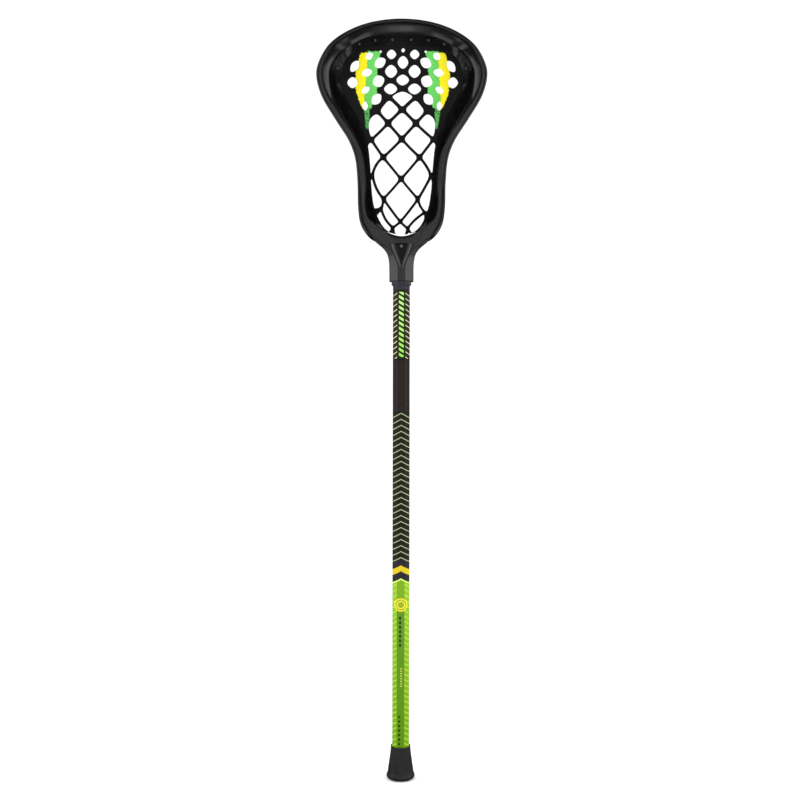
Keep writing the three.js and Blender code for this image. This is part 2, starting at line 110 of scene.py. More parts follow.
BORE_GAP = 0.6  # how much wider a bore is than the piece in it
SLEEVE_WALLS = 2.6  # how much wider the sleeve is than the shaft
RING_STEPS = 240
CORNER_POINTS = 4

# ---- the shaft's print, heights and lengths in mm ----
PRINT_DROP = 0.9  # how far the print sits below the heights given here
CHEVRON_SLOPE = 0.55
CHEVRON_PITCH = 7.45
DARK_TOP, YELLOW_TOP, YELLOW_LOW, LIME_TOP = 276.5, 267.7, 260.4, 251.6
TICK_SLOPE = 0.68
UPPER_PITCH = 6.6
BADGE_HEIGHT = 218.6
DASH_COUNT, DASH_PITCH, DASH_HALF = 7, 5.6, 1.15

# ---- the net's hang, mm ----
NET_LEAN = 0.0148  # the pocket hangs a little askew: mm to the right for each mm up
NET_LEAN_MIDDLE = 800
NET_DROP = 0.8  # how far the whole lattice sits below the places given for it


# ---- small helpers ----
def srgb(red, green, blue):
    """A display colour, 0 to 255 a channel, as the linear colour a shader takes."""
    def linear(value):
        value /= 255
        return value / 12.92 if value <= 0.04045 else ((value + 0.055) / 1.055) ** 2.4
    return (linear(red), linear(green), linear(blue), 1)


def placed(name, data):
    """A new object in the scene, made of this data."""
    piece = bpy.data.objects.new(name, data)
    scene.collection.objects.link(piece)
    return piece


def new_object(name, vertices, faces):
    mesh = bpy.data.meshes.new(name)
    mesh.from_pydata([tuple(v) for v in vertices], [], faces)
    mesh.update()
    return placed(name, mesh)


def fix_normals(piece):
    bm = bmesh.new()
    bm.from_mesh(piece.data)
    bmesh.ops.recalc_face_normals(bm, faces=bm.faces)
    bm.to_mesh(piece.data)
    bm.free()


def shade_smooth(piece):
    piece.data.polygons.foreach_set("use_smooth", [True] * len(piece.data.polygons))


def smooth_by_angle(piece, degrees):
    """The piece, shaded smooth but for its edges sharper than this."""
    shade_smooth(piece)
    piece.data.set_sharp_from_angle(angle=math.radians(degrees))
    return piece


def heights(name):
    """How high a CAD piece starts and ends, in mm."""
    low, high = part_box(name)
    return low.z / MM, high.z / MM


def across_flats(name):
    """A CAD piece's width along X, in mm."""
    low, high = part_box(name)
    return (high.x - low.x) / MM


def evaluated_mesh(piece):
    graph = bpy.context.evaluated_depsgraph_get()
    return bpy.data.meshes.new_from_object(piece.evaluated_get(graph))


def apply_modifiers(piece):
    mesh, old = evaluated_mesh(piece), piece.data
    piece.modifiers.clear()
    piece.data = mesh
    bpy.data.meshes.remove(old)


def loft(name, rows, ring=False):
    """Joins closed rows of points, in mm, into a closed ring or a capped tube."""
    width = len(rows[0])
    vertices = [Vector(p) * MM for row in rows for p in row]
    faces = []
    for i in range(len(rows) if ring else len(rows) - 1):
        for j in range(width):
            here, there = i * width, ((i + 1) % len(rows)) * width
            faces.append((here + j, here + (j + 1) % width, there + (j + 1) % width, there + j))
    if not ring:
        faces += [tuple(range(width)), tuple(range(len(vertices) - width, len(vertices)))]
    piece = new_object(name, vertices, faces)
    fix_normals(piece)
    return piece


def upright(name, outline, low, high):
    """A solid with an outline in x and y, from one height to another."""
    return loft(name, [[(x, y, z) for x, y in outline] for z in (low, high)])


def spline(values, t, periodic=True):
    """A Catmull-Rom value at place t along evenly spaced values."""
    count = len(values)
    whole = math.floor(t)
    part = t - whole

    def at(i):
        i = i % count if periodic else min(max(i, 0), count - 1)
        return np.asarray(values[i], float)

    a, b, c, d = at(whole - 1), at(whole), at(whole + 1), at(whole + 2)
    return b + 0.5 * part * (
        c - a + part * (2 * a - 5 * b + 4 * c - d + part * (3 * (b - c) + d - a))
    )


def rounded(outline, steps=CORNER_POINTS):
    """An outline of corners, each rounded by a curve that starts its own cut before it."""
    points = [np.asarray(p, float) for p, _ in outline]
    out = []
    for i, (corner, (_, cut)) in enumerate(zip(points, outline)):
        sides = points[i - 1] - corner, points[(i + 1) % len(points)] - corner
        lengths = [np.linalg.norm(side) for side in sides]
        start, end = (corner + side / length * min(cut, 0.45 * length)
                      for side, length in zip(sides, lengths))
        for k in range(steps):
            t = k / (steps - 1)
            out.append((1 - t) ** 2 * start + 2 * t * (1 - t) * corner + t * t * end)
    return out


def smooth_rows(values, steps=4):
    """Rows of values with more between them, on a smooth curve through them all."""
    return [spline(values, i / steps, periodic=False) for i in range(steps * (len(values) - 1) + 1)]


def joined(target, others, operation="UNION"):
    """Joins or cuts target with the other solids, which are used up."""
    group = bpy.data.collections.new("operands")
    scene.collection.children.link(group)
    for other in others:
        scene.collection.objects.unlink(other)
        group.objects.link(other)
    change = target.modifiers.new("join", "BOOLEAN")
    change.operation = operation
    change.operand_type = "COLLECTION"
    change.collection = group
    change.solver = "MANIFOLD"
    apply_modifiers(target)
    for other in others:
        bpy.data.objects.remove(other)
    bpy.data.collections.remove(group)


def octagon(flats, cut=0.0, steps=5):
    """An octagon with a flat on each axis, its corners rounded if cut is over zero."""
    corner = flats / 2 / math.cos(math.pi / 8)
    angles = [math.pi / 8 + i * math.pi / 4 for i in range(8)]
    points = [(corner * math.cos(a), corner * math.sin(a)) for a in angles]
    return rounded([(point, cut) for point in points], steps) if cut else points


def finish_piece(piece, material, node_name):
    """Gives a piece its material, body and slot, and hides the CAD piece it stands for."""
    piece.data.materials.clear()
    piece.data.materials.append(material)
    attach(piece, "root")
    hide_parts(node_name)


# ---- materials ----
class Shader:
    """A Principled material, with short calls for the nodes that colour it."""

    def __init__(self, name, color, roughness, metallic=0.0):
        self.material = bpy.data.materials.new(name)
        self.material.use_nodes = True
        self.tree = self.material.node_tree
        self.principled = self.tree.nodes["Principled BSDF"]
        self.vector = self.tree.nodes.new("ShaderNodeTexCoord").outputs["Object"]
        split = self.node("ShaderNodeSeparateXYZ", Vector=self.vector)
        # X, Y and Z in mm in the object's own frame.
        self.place = [self.math("MULTIPLY", out, 1 / MM) for out in split.outputs]
        self.color = color
        self.set("Base Color", color)
        self.set("Roughness", roughness)
        self.set("Metallic", metallic)

    def feed(self, socket, value):
        """Links another node's output to a socket, or sets the socket to a plain value."""
        if isinstance(value, bpy.types.NodeSocket):
            self.tree.links.new(value, socket)
        else:
            socket.default_value = value

    def set(self, name, value):
        self.feed(self.principled.inputs[name], value)

    def node(self, kind, *values, **named):
        """A new node, its first sockets fed in order by values, others by name."""
        node = self.tree.nodes.new(kind)
        for socket, value in zip(node.inputs, values):
            self.feed(socket, value)
        for name, value in named.items():
            self.feed(node.inputs[name], value)
        return node

    def math(self, operation, *values):
        node = self.node("ShaderNodeMath", *values)
        node.operation = operation
        return node.outputs[0]

    def minus(self, a, b):
        return self.math("SUBTRACT", a, b)

    def line(self, value, slope, start):
        return self.math("MULTIPLY_ADD", value, slope, start)

    def both(self, first, *others):
        """1 where every one of these masks is 1: their product."""
        for other in others:
            first = self.math("MULTIPLY", first, other)
        return first

    def mix(self, share, a, b):
        """Colour a, with a share of colour b laid over it."""
        node = self.tree.nodes.new("ShaderNodeMix")
        node.data_type = "RGBA"
        for index, value in ((0, share), (6, a), (7, b)):
            self.feed(node.inputs[index], value)
        return node.outputs[2]

    def mix_value(self, share, a, b):
        return self.line(share, self.minus(b, a), a)

    def paint(self, color, *masks):
        """Lays a colour over the base colour where all the masks are 1."""
        self.color = self.mix(self.both(*masks), self.color, color)
        self.set("Base Color", self.color)

    def clamp(self, value):
        return self.node("ShaderNodeClamp", value).outputs[0]

    def band(self, value, low, high, soft):
        """1 where value lies between low and high, with edges soft mm wide."""
        middle, half = (low + high) / 2, (high - low) / 2
        off = self.math("ABSOLUTE", self.minus(value, middle))
        return self.clamp(self.line(off, -1 / soft, half / soft + 0.5))

    def stripes(self, value, period, start, share, soft):
        """1 on the first share of each period of value, counted from start."""
        shifted = self.math("DIVIDE", self.minus(value, start), period)
        return self.band(self.math("FRACT", shifted), -1e-3, share, soft / period)

    def noise(self, scale, detail=2.0, roughness=0.5):
        return self.node("ShaderNodeTexNoise", Vector=self.vector, Scale=scale, Detail=detail,
                         Roughness=roughness).outputs["Fac"]

    def ramp(self, value, low, high, out_low, out_high):
        return self.node("ShaderNodeMapRange", value, low, high, out_low, out_high).outputs[0]

    def patchy(self, scale, dark, light):
        """Makes the base colour drift between dark and light."""
        self.color = self.mix(self.ramp(self.noise(scale), 0.3, 0.7, 0, 1), dark, light)
        self.set("Base Color", self.color)

    def bump(self, height, strength, distance):
        node = self.node("ShaderNodeBump", Strength=strength, Distance=distance * MM,
                         Height=height)
        self.set("Normal", node.outputs["Normal"])

    def grain(self, noise, low, high, strength, distance):
        """A roughness from low to high, and a bump, that follow the same noise."""
        self.set("Roughness", self.ramp(noise, 0.3, 0.7, low, high))
        self.bump(noise, strength, distance)


def head_plastic():
    """Polished black plastic, with a matt floor in the V on the throat."""
    shade = Shader("head_plastic", srgb(15, 15, 16), 0.17)
    shade.patchy(20, srgb(13, 13, 14), srgb(18, 18, 19))
    x, y, z = shade.place
    half = shade.line(z, V_SPREAD, -V_SPREAD * V_FOOT)
    matt = shade.both(shade.clamp(shade.minus(half, shade.math("ABSOLUTE", x))),
                      shade.band(z, V_FOOT, V_TOP, 0.5), shade.math("LESS_THAN", y, V_BACK))
    polish = shade.ramp(shade.noise(55, detail=4), 0.35, 0.7, 0.13, 0.22)
    shade.set("Roughness", shade.mix_value(matt, polish, 0.5))
    shade.set("Specular IOR Level", shade.mix_value(matt, 0.5, 0.16))
    shade.bump(shade.noise(420, detail=3), 0.03, 0.25)
    return shade.material


def knit_threads(shade):
    """Fine slanted waves, like the threads of a knitted strand."""
    thread = shade.node("ShaderNodeTexWave", Vector=shade.vector, Scale=230, Distortion=3.0,
                        Detail=2.0)
    thread.wave_type = "BANDS"
    thread.bands_direction = "DIAGONAL"
    return thread.outputs["Fac"]


def net_weave():
    """Black yarn with a green and a yellow stripe woven down each side of the pocket."""
    shade = Shader("net_weave", srgb(22, 22, 22), 0.6)
    shade.set("Specular IOR Level", 0.3)
    x, _, z = shade.place
    rough = shade.minus(shade.noise(380, detail=3), 0.5)
    ragged = shade.math("MULTIPLY", rough, 4.5)
    leaning = shade.math("MULTIPLY", shade.minus(z, NET_LEAN_MIDDLE), NET_LEAN)
    across = shade.math("ADD", shade.math("ABSOLUTE", shade.minus(x, leaning)), ragged)
    height = shade.math("ADD", z, ragged)

    def beyond(value, limit):
        return shade.clamp(shade.minus(value, limit))

    # The yellow stripe swells outwards towards 882 mm, and the green one lies inside it.
    up = shade.minus(z, 882)
    outer = shade.line(shade.math("MULTIPLY", up, up), -0.0085, 61.3)
    past_border = beyond(across, shade.line(z, -0.09, 44.2 + 0.09 * 911))
    below = shade.math("MAXIMUM", shade.minus(866, z), 0)
    inner = shade.math("MINIMUM", shade.line(below, 0.45, shade.ramp(z, 900, 913, 32, 27)), 43.0)
    knit = knit_threads(shade)
    shade.color = shade.mix(knit, srgb(8, 8, 9), srgb(17, 17, 18))
    # The green stripe's thin tail runs on down the strand below, black showing through it.
    shade.paint(srgb(84, 186, 82), beyond(across, 42.0),
                beyond(shade.ramp(z, 824, 845, 47.0, 49.7), across),
                shade.band(height, 823, 850, 1.0), shade.ramp(rough, -0.12, 0.02, 0.35, 1.0))
    shade.paint(shade.mix(knit, srgb(84, 196, 80), srgb(120, 226, 108)), beyond(across, inner),
                shade.minus(1, past_border), shade.band(height, 849, 913.5, 1.0))
    shade.paint(shade.mix(knit, srgb(246, 226, 0), srgb(255, 246, 10)), past_border,
                beyond(outer, across), shade.band(height, 848, 912, 1.0))
    shade.set("Roughness", shade.ramp(knit, 0, 1, 0.66, 0.52))
    shade.bump(knit, 0.5, 0.25)
    return shade.material


def upper_band(shade, x, z, away):
    """Pale ticks on the sides, and a green column with dark slashes down the front and back."""
    band = shade.band(z, 524.0, 608.5, 0.5)
    side = shade.math("GREATER_THAN", away, 5.2)
    steep = shade.line(away, TICK_SLOPE, z)
    fine = shade.stripes(steep, UPPER_PITCH / 4, 526.5, 0.35, 0.4)
    shade.paint(srgb(78, 66, 40), fine, side, band, 0.55)
    ticks = shade.stripes(steep, UPPER_PITCH, 528.9, 0.15, 0.5)
    shade.paint(srgb(208, 202, 170), ticks, side, band)
    shade.paint(srgb(14, 34, 0), shade.band(away, -1, 5.1, 0.3), band)
    leaf = shade.mix(shade.ramp(z, 524, 608, 0.0, 1.0), srgb(136, 194, 72), srgb(170, 210, 126))
    slash = shade.stripes(shade.line(x, 0.62, z), 6.5, 526, 0.54, 0.5)
    shade.paint(leaf, slash, shade.band(away, -1, 3.0, 0.4), shade.band(z, 526, 606.5, 0.6))


def chevron_field(shade, chevron):
    """Pale chevrons with faint ones between them."""
    field = shade.band(chevron, DARK_TOP, 458.6, 0.5)
    faint = shade.stripes(chevron, CHEVRON_PITCH / 3, 277.3, 0.4, 0.5)
    shade.paint(srgb(42, 52, 12), faint, field, 0.4)
    shade.paint(srgb(164, 174, 138), shade.stripes(chevron, CHEVRON_PITCH, 276.9, 0.125, 0.6), field)


def badge(shade, x, z, front):
    """Two plain rings on a disc."""
    up = shade.minus(z, BADGE_HEIGHT)
    radius = shade.math("SQRT", shade.line(x, x, shade.math("MULTIPLY", up, up)))
    shade.paint(srgb(150, 160, 24), shade.band(radius, -1, 8.2, 0.4), front, 0.55)
    for low, high in ((6.9, 8.2), (3.9, 5.2)):
        shade.paint(srgb(214, 196, 44), shade.band(radius, low, high, 0.4), front)


def dashes(shade, x, z, front):
    """Two rows of dark dashes and a row of small pale ones down the front flat."""
    for start, length, middle in ((168.6, 3.5, -0.9), (46.2, 2.4, -1.9)):
        end = start + (DASH_COUNT - 1) * DASH_PITCH
        shade.paint(
            srgb(0, 16, 2),
            shade.stripes(z, DASH_PITCH, start - length / 2, length / DASH_PITCH, 0.6),
            shade.band(z, start - length, end + length, 0.2),
            shade.band(x, middle - DASH_HALF, middle + DASH_HALF, 0.5),
            front,
        )
    shade.paint(srgb(196, 190, 84), shade.stripes(z, 3.1, 117, 0.5, 0.5),
                shade.band(z, 116.5, 141, 0.4), shade.band(x, -0.6, 1.6, 0.5), front, 0.7)


def lime_half(shade, x, y, z, away, chevron):
    """Lime with pale ticks on the sides, painted shade on the front and back flats, a badge and
    dashes.
    """
    above = shade.color
    front = shade.math("LESS_THAN", y, 0.0)
    shade.color = shade.mix(shade.ramp(z, 60, 240, 0, 1), srgb(103, 146, 6), srgb(124, 163, 28))
    ticks = shade.stripes(shade.line(away, TICK_SLOPE, z), 6.58, 42.5, 0.24, 0.8)
    shade.paint(srgb(156, 196, 62), ticks, 0.8)
    # Painted shade: the front and back flats are painted a darker lime, darkest below the badge, for
    # the shade these faces take.
    flat = shade.mix(shade.ramp(z, 205, 230, 0, 1), srgb(76, 121, 5), srgb(103, 142, 12))
    shade.paint(flat, shade.band(x, -5.0, 4.4, 0.4))
    shade.paint(srgb(186, 222, 96), shade.band(chevron, 249.8, LIME_TOP, 0.4))
    badge(shade, x, z, front)
    dashes(shade, x, z, front)
    lime, shade.color = shade.color, above
    shade.paint(lime, shade.band(chevron, -100, LIME_TOP, 0.4))


def shaft_print():
    """Dark upper half with pale chevrons, a yellow chevron, and a lime lower half."""
    shade = Shader("shaft_paint", srgb(40, 36, 38), 0.36)
    shade.color = srgb(12, 14, 2)
    shade.set("Specular IOR Level", 0.17)
    x, y, z = shade.place
    z = shade.math("ADD", z, PRINT_DROP)
    away = shade.math("ABSOLUTE", x)
    # Equal along lines that drop to both sides of the middle.
    chevron = shade.line(away, CHEVRON_SLOPE, z)

    shade.paint(srgb(30, 22, 20), shade.band(z, 458, 522, 1.0))
    shade.paint(srgb(44, 38, 50), shade.band(z, 609.5, 618, 0.8))
    upper_band(shade, x, z, away)
    chevron_field(shade, chevron)
    for low, high, color in (
        (YELLOW_TOP, DARK_TOP - 0.3, srgb(32, 28, 34)),
        (YELLOW_LOW, YELLOW_TOP, srgb(188, 168, 8)),
        (LIME_TOP, YELLOW_LOW, srgb(32, 28, 34)),
    ):
        shade.paint(color, shade.band(chevron, low, high, 0.4))
    lime_half(shade, x, y, z, away, chevron)

    shade.set("Roughness", shade.ramp(shade.noise(160, detail=4), 0.3, 0.7, 0.24, 0.34))
    shade.bump(shade.noise(900, detail=2), 0.03, 0.1)
    return shade.material


def cap_rubber():
    shade = Shader("cap_rubber", srgb(40, 40, 41), 0.62)
    shade.patchy(60, srgb(20, 20, 21), srgb(29, 29, 30))
    shade.grain(shade.noise(900, detail=4, roughness=0.7), 0.52, 0.7, 0.25, 0.15)
    return shade.material


def plain_plastic(name, dark, light, rough):
    shade = Shader(name, dark, rough)
    shade.patchy(120, dark, light)
    shade.grain(shade.noise(700, detail=3), rough - 0.06, rough + 0.08, 0.12, 0.1)
    return shade.material


def pad_foam():
    shade = Shader("pad_foam", srgb(236, 236, 232), 0.75)
    cells = shade.node("ShaderNodeTexVoronoi", Vector=shade.vector, Scale=1400)
    distance = cells.outputs["Distance"]
    shade.set("Base Color", shade.mix(distance, srgb(228, 228, 224), srgb(245, 245, 242)))
    shade.bump(distance, 0.3, 0.15)
    return shade.material


def screw_steel():
    shade = Shader("screw_steel", srgb(120, 120, 122), 0.3, metallic=1.0)
    shade.grain(shade.noise(1500, detail=3), 0.24, 0.42, 0.1, 0.05)
    return shade.material


# ---- the head ----
RIGHT = [np.array([*front, *back, *rest]) for front, back, *rest in STATIONS]
MIRROR = np.array([-1, 1, 1, -1, 1, 1, 1, 1, 1, 1, 1])
RING = RIGHT + [values * MIRROR for values in RIGHT[-2:0:-1]]


def station(place):
    """The section frame at a place round the ring: a point finder and its sizes in mm."""
    values = spline(RING, place)
    front, back, (rail, lip, drop, bevel, band) = values[:3], values[3:6], values[6:]
    inward = np.array([back[0] - front[0], 0, back[2] - front[2]])
    span = np.linalg.norm(inward)
    inward /= span
    depth = back[1] - front[1]

    def point(u, w):
        return front + inward * u + np.array([0, w, 0])

    return point, span, depth, rail, lip, drop, bevel, band


def knee(span, depth, lip):
    """Where the side wall meets the back lip."""
    return span - lip, depth - EDGE - lip


def head_section(place):
    """The frame's outline at a place: rail, groove, slanted band, wall, lip, back rail, outside."""
    point, span, depth, rail, lip, drop, bevel, band = station(place)
    knee_u, knee_w = knee(span, depth, lip)
    band_u, band_w = rail + band, 1.3 + 0.78 * band
    middle_u = (band_u + knee_u) / 2 - WALL_BOW * (1 - band / 8)
    middle_w = (band_w + knee_w) / 2
    rear_u, rear_w = span - lip - WEB - SHOULDER, depth - drop
    # The bevel is steeper where it is wide, and the rail's inner edge rounds off at the throat.
    steep = 0.7 * bevel + 0.3 + 2.9 * max(bevel - 1.6, 0)
    from_throat = abs(place % len(RING) - THROAT_PLACE)
    fillet = 1.7 * np.interp(from_throat, [0.9, 1.7], [1, 0])
    outline = [
        ((0, RAIL_DEPTH + 0.4), 1.0),
        ((0, steep), 0.5),
        ((bevel, 0.15), 0.5),
        ((0.5 * (rail + bevel), -RAIL_CROWN), 3.5),
        ((rail - 0.5 - fillet, 0.0), 0.5),
        ((rail, 1.0 + fillet), 0.3),
        ((rail + 0.35, 3.2), 0.2),
        ((rail + GROOVE, 2.1), 0.3),
        ((band_u, band_w), 1.6),
        ((middle_u, middle_w), 10.0),
        ((knee_u, knee_w), 2.0),
        ((span - 0.6, depth - LIP_EDGE), 1.0),
        ((span, depth - EDGE), 0.6),
        ((span - EDGE, depth), 0.9),
        ((rear_u + EDGE, rear_w), 0.9),
        ((rear_u, rear_w - EDGE), 0.9),
        ((rear_u, rear_w - RAIL_DEPTH), 1.0),
        ((rear_u + SHOULDER, rear_w - RAIL_DEPTH - 1.5), 1.5),
        ((middle_u - WEB, middle_w), 10.0),
        ((max(rail - WEB, 0.8), RAIL_DEPTH + 1.6), 1.5),
    ]
    return [point(u, w) for u, w in rounded(outline)]


def throat_section(level):
    """The throat's outline at a level, an octagon that widens upwards."""
    z, half, back, back_half, flat, slope = level
    outline = [
        ((-flat, THROAT_FRONT), 0.8),
        ((flat, THROAT_FRONT), 0.8),
        ((half, THROAT_FRONT + slope), 0.4),
        ((back_half, back - 8), 1.6),
        ((THROAT_BACK_FLAT, back), 1.6),
        ((-THROAT_BACK_FLAT, back), 1.6),
        ((-back_half, back - 8), 1.6),
        ((-half, THROAT_FRONT + slope), 0.4),
    ]
    return [(x, y, z) for x, y in rounded(outline, 5)]


def tube(name, points, radius, sides, flatten):
    """A tube along points, closed at its ends; flatten is its depth over its width."""
    rows = []
    path = [Vector(p) for p in points]
    for i, p in enumerate(path):
        ahead = (path[min(i + 1, len(path) - 1)] - path[max(i - 1, 0)]).normalized()
        side = ahead.cross(Vector((0, 1, 0))).normalized()
        up = side.cross(ahead) * flatten
        size = radius(i / (len(path) - 1))
        angles = [2 * math.pi * k / sides for k in range(sides)]
        rows.append([p + (side * math.cos(a) + up * math.sin(a)) * size for a in angles])
    return loft(name, rows)


# The V on the throat: heights and half widths of its hollow, then places down the ridge beside
# it and down the groove outside that.
HOLLOW_SIDE = [(639, 0.2), (644, 1.9), (649, 3.6), (655, 5.4), (660, 7.2), (664, 8.4),
               (V_TOP, 7.7)]
RIDGE_SIDE = [(11.6, 664.5), (10.4, 660), (8.6, 654.5), (6.4, 649.5), (4.1, 644.2), (2.2, 639.3),
              (1.0, 635.5)]
GROOVE_SIDE = [(14.2, 665), (12.8, 660.5), (10.8, 655), (8.4, 649.5), (6.0, 644), (4.0, 638.8),
               (2.9, 635.5)]


def front_y(x, z):
    """The front face's y at a place on the throat."""
    columns = np.array(THROAT_LEVELS).T
    half, flat, slope = (np.interp(z, columns[0], columns[i]) for i in (1, 4, 5))
    return THROAT_FRONT + max(abs(x) - flat, 0) / (half - flat) * slope


def throat_hollow():
    """The V's hollow, a valley that deepens upwards to its round top."""
    rows = []
    for z, half in smooth_rows(HOLLOW_SIDE):
        deep = np.interp(z, [639, 645, 667], [0.6, 2.0, 3.0])
        edge = THROAT_FRONT + 0.45 * deep
        front = THROAT_FRONT - 4
        rows.append([(-half, front, z), (half, front, z), (half, edge, z),
                     (0, THROAT_FRONT + deep, z), (-half, edge, z)])
    return loft("hollow", rows)


def throat_lines(side, radius, lift, sides=8, flatten=1.0):
    """A rod along each side of the V, its middle lift mm in front of the face."""
    rods = []
    for sign in (1, -1):
        path = [(sign * x, front_y(x, z) - lift, z) for x, z in smooth_rows(side)]
        rods.append(tube("rod", path, radius, sides, flatten))
    return rods


RIB_COUNT = 9
RIB_FIRST, RIB_LAST = 3.1, 12.6  # the places round the ring where the ribs start and end
RIB_HALF = 0.715 / 9  # half a rib's width, in places round the ring
RIB_ROOT, RIB_HEIGHT = 1.0, 2.3  # how far a rib reaches into the wall and out of it
RIB_STEPS = 6


def rib_row(place, t):
    """A rib's four corners at a place, t of the way from the front rail to the back one."""
    _, span, depth, rail, lip, *_ = station(place)
    knee_u, knee_w = knee(span, depth, lip)
    web_w = RAIL_DEPTH - 1 + (knee_w - RAIL_DEPTH + 0.5) * t
    bow = 0.9 * WALL_BOW * (1 - (2 * t - 1) ** 2)
    web_u = rail + (knee_u - rail) * (web_w / knee_w) - WEB - bow
    corners = ((-1, -RIB_ROOT), (1, -RIB_ROOT), (1, RIB_HEIGHT), (-1, RIB_HEIGHT))
    return [station(place + side * RIB_HALF)[0](web_u - out, web_w) for side, out in corners]


def side_ribs():
    """Ribs that zigzag between the rails on the outside of each side wall."""
    ribs = []
    step = (RIB_LAST - RIB_FIRST) / RIB_COUNT
    for mirrored in (False, True):
        for i in range(RIB_COUNT):
            ends = RIB_FIRST + i * step, RIB_FIRST + (i + 1) * step
            start, end = ends if i % 2 == 0 else reversed(ends)
            rows = []
            for k in range(RIB_STEPS + 1):
                place = start + (end - start) * k / RIB_STEPS
                rows.append(rib_row(len(RING) - place if mirrored else place, k / RIB_STEPS))
            ribs.append(loft("rib", rows))
    return ribs


def head_frame():
    places = [i * len(RING) / RING_STEPS for i in range(RING_STEPS)]
    head = loft("head_shell", [head_section(p) for p in places], ring=True)
    throat = loft("throat", [throat_section(level) for level in smooth_rows(THROAT_LEVELS)])
    # The throat's back runs up into the back rail.
    side_on = [(8, 667), (21.5, 667), (23.5, 671), (23.5, 678.3), (8, 671.3)]
    heel = loft("heel", [[(x, y, z) for y, z in side_on] for x in (-HEEL_HALF, HEEL_HALF)])
    joined(head, [throat, heel] + side_ribs())

    joined(head, throat_lines(GROOVE_SIDE, lambda t: 1.15 + 0.35 * t, 0.35), "DIFFERENCE")
    joined(head, throat_lines(RIDGE_SIDE, lambda t: 1.45 - 0.5 * t, 0.15, sides=4, flatten=0.85))

    below = heights("head_frame")[0] - 2
    shaft_flats = across_flats("shaft")
    joined(head, [
        throat_hollow(),
        upright("shaft_bore", octagon(shaft_flats + BORE_GAP), below, heights("shaft")[1] + 0.3),
        upright("sleeve_bore", octagon(shaft_flats + SLEEVE_WALLS + BORE_GAP), below,
                heights("socket_sleeve")[1] + 0.3),
    ], "DIFFERENCE")
    fix_normals(head)
    return smooth_by_angle(head, 32)


# ---- the net ----
NET_THICKNESS = 2.4
NET_ROUND = 0.85  # how far the strands' edges are rounded
NET_VOXEL = 0.65
NET_POINTS = 120  # round its border
OVAL_POWER = 1.65  # 2 would make the small holes ellipses, 1 diamonds

# Oval holes on the right half, mirrored on the left, all but the last in the upper lattice: x, z,
# half width, half height and how far the outer end dips, in degrees.
OVAL_HOLES = [
    (14.7, 911.2, 5.9, 5.1, 0), (42.8, 909.5, 5.0, 4.0, 30), (28.6, 914.2, 1.5, 1.5, 0),
    (0, 915.6, 2.3, 2.3, 0), (0, 902.5, 6.7, 7.0, 0), (29.2, 902.1, 7.7, 5.7, 28),
    (61.5, 898.8, 7.6, 4.8, 48), (15.0, 892.5, 7.6, 7.2, 0), (45.8, 891.5, 6.8, 4.5, 10),
    (0, 882.7, 8.0, 6.1, 0), (30.9, 881.5, 7.6, 6.8, 22), (64.4, 880.3, 6.6, 6.4, 0),
    (15.4, 872.4, 8.3, 6.3, 0), (47.5, 871.6, 5.8, 3.9, 30), (33.4, 860.6, 7.6, 5.9, 45),
    (48.0, 852.6, 3.5, 5.6, 0), (11.1, 684.3, 1.45, 2.7, 24),
]

# Junctions of the lower lattice, by letter, on the right; capitals are the left side's own.
JUNCTION = {
    "a": (0, 847.0), "b": (32.4, 846.3), "c": (18.1, 831.4), "d": (0, 812.0), "e": (41.2, 810.3),
    "f": (23.8, 788.3), "g": (0, 761.8), "h": (38.8, 762.6), "i": (22.4, 733.3),
    "j": (0, 702.0), "k": (31.6, 714.1), "l": (9.4, 692.2), "m": (15.4, 683.0), "n": (6.9, 681.0),
    "p": (17.2, 863.2), "q": (0, 872.0),
    "E": (39.6, 809.6), "H": (36.8, 763.8), "K": (24.8, 719.6), "L": (9.2, 693.4),
}

# How far a strand hangs outside the straight line between its ends, in mm: right, left.
SLACK = {"pq": (1.2, 1.2), "fh": (1.3, 2.6), "hi": (0.3, 2.8), "ik": (-1.6, -0.5), "kl": (-2.2, 2.6)}


def net_edge(place, beyond):
    """A point of the net's plan, beyond the back rail's inner edge by so many mm."""
    point, span, *_ = station(place)
    x, _, z = point(span - beyond, 0)
    return (x, z)


def oval(x, z, half_width, half_height, tilt, count=32):
    """The outline of an oval that is a little pointed at its ends."""
    angles = 2 * np.pi * np.arange(count) / count
    across, up = (half * np.sign(part) * np.abs(part) ** (2 / OVAL_POWER)
                  for half, part in ((half_width, np.cos(angles)), (half_height, np.sin(angles))))
    c, s = math.cos(math.radians(tilt)), math.sin(math.radians(tilt))
    return list(zip(x + across * c - up * s, z + across * s + up * c))


def junction(name, sign):
    """A junction's x and z, on the right if sign is 1, and opposite if its name ends in -."""
    sign = -sign if name.endswith("-") else sign
    letter = name[0]
    if sign < 0 and letter.upper() in JUNCTION:
        letter = letter.upper()
    x, z = JUNCTION[letter]
    return np.array([sign * x, z])


def strand(start, end, sign, steps=8):
    """Points from one junction to just before the next, along the strand between them."""
    a, b = junction(start, sign), junction(end, sign)
    outward = 1 if a[0] + b[0] > 0 else -1
    slack = SLACK.get("".join(sorted((start[0], end[0]))), (0, 0))[0 if outward > 0 else 1]
    across = np.array([-(b - a)[1], (b - a)[0]]) / np.linalg.norm(b - a)
    if across[0] * outward < 0:
        across = -across
    return [a + (b - a) * t + across * slack * 4 * t * (1 - t) for t in np.arange(steps) / steps]


